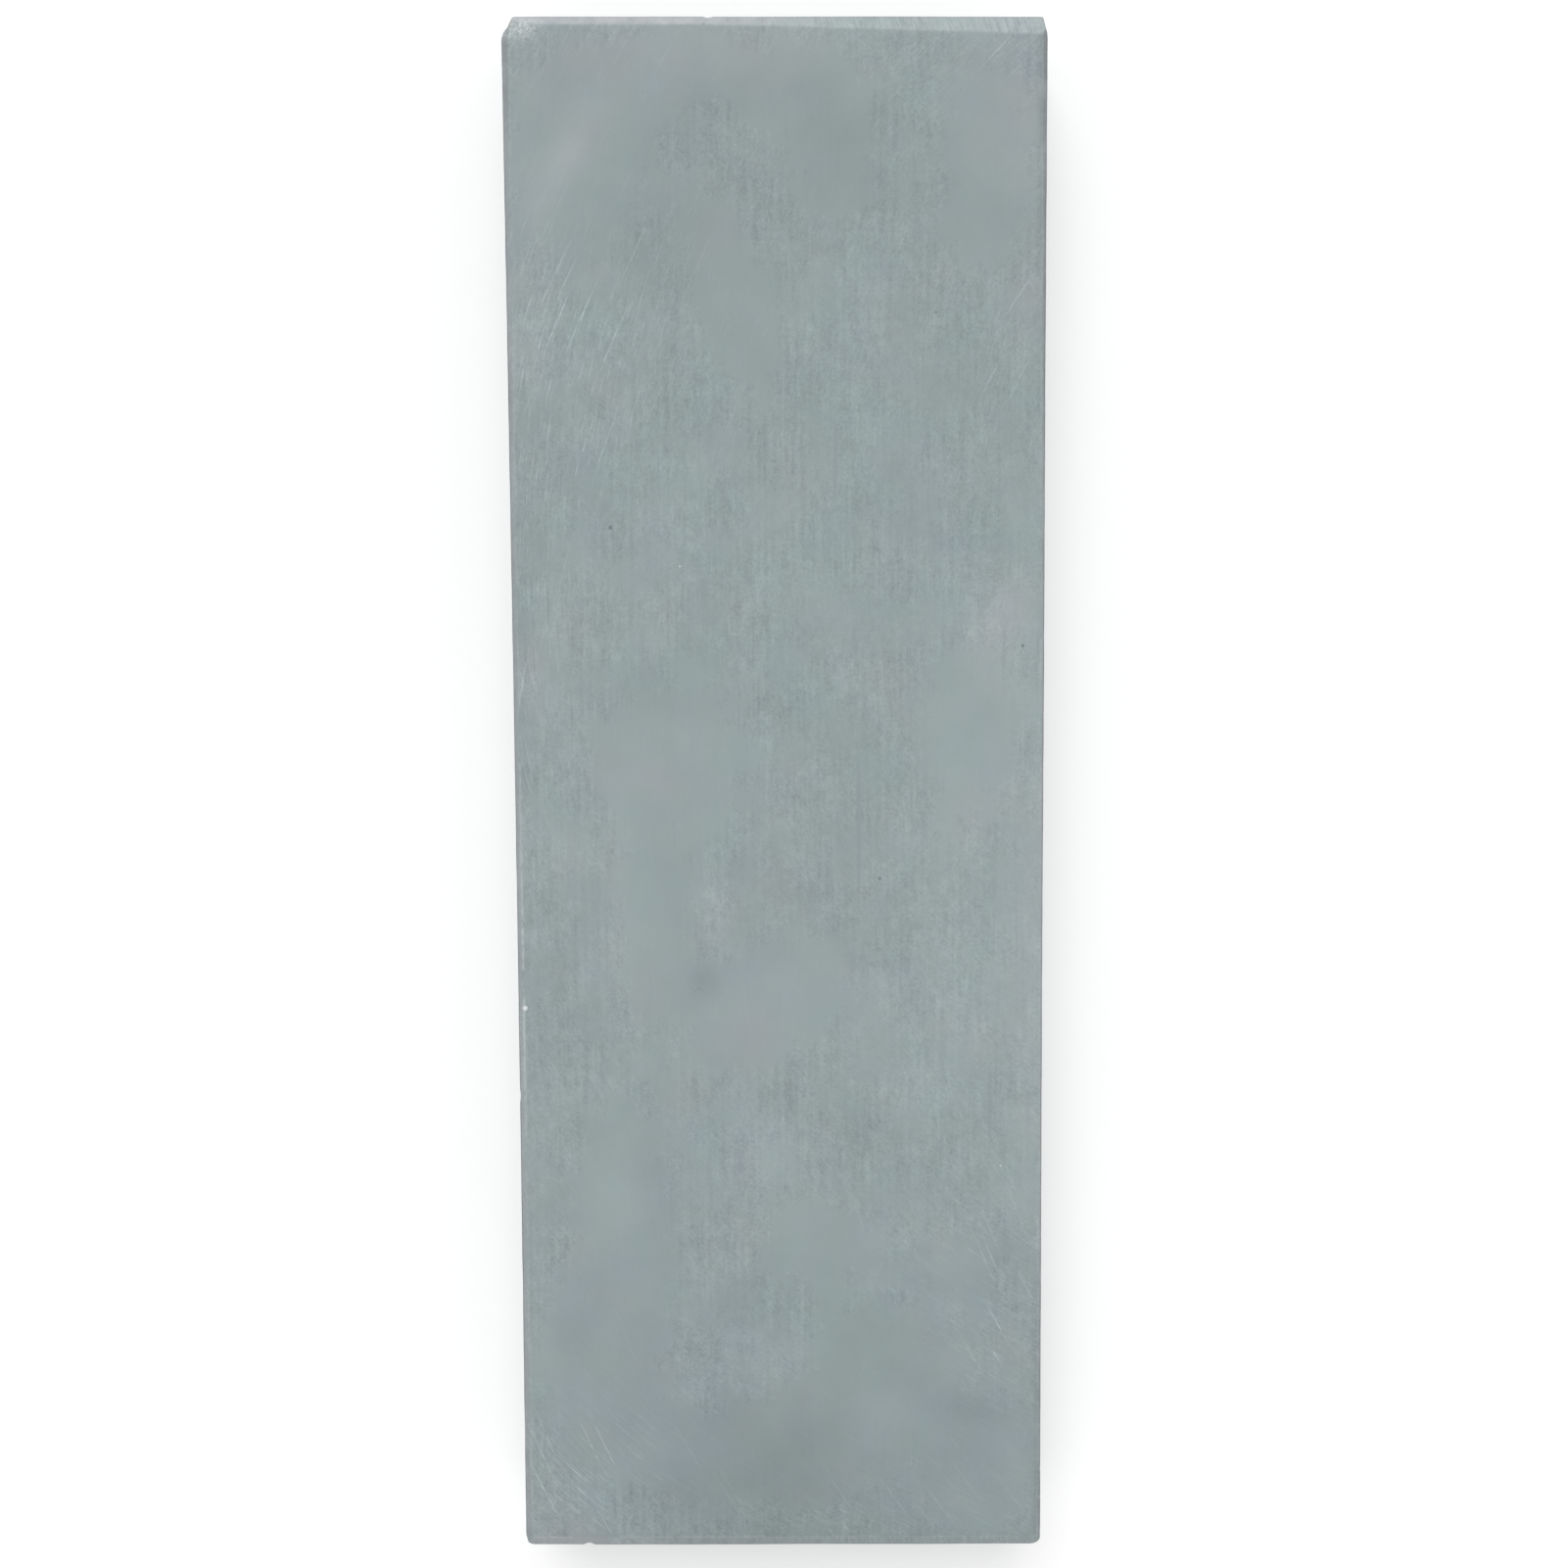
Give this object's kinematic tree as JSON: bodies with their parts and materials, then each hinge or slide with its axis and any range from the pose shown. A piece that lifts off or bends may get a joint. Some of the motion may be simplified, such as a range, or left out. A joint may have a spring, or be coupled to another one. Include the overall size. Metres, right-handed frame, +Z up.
{
  "type": "sharpening whetstone",
  "caption": "Flat rectangular bench whetstone of fine grey-green natural stone, with eased arrises and a hand-ground end bevel.",
  "frame": {"origin": "middle of the underside", "axes": "+X across the stone, +Y along its length towards the end with the broad uneven bevel, +Z up out of the honing face"},
  "size_m": [0.069, 0.2, 0.02],
  "materials": {
    "stone": "honed matte"
  },
  "bodies": {
    "root": {"stone": "stone"}
  },
  "joints": []
}
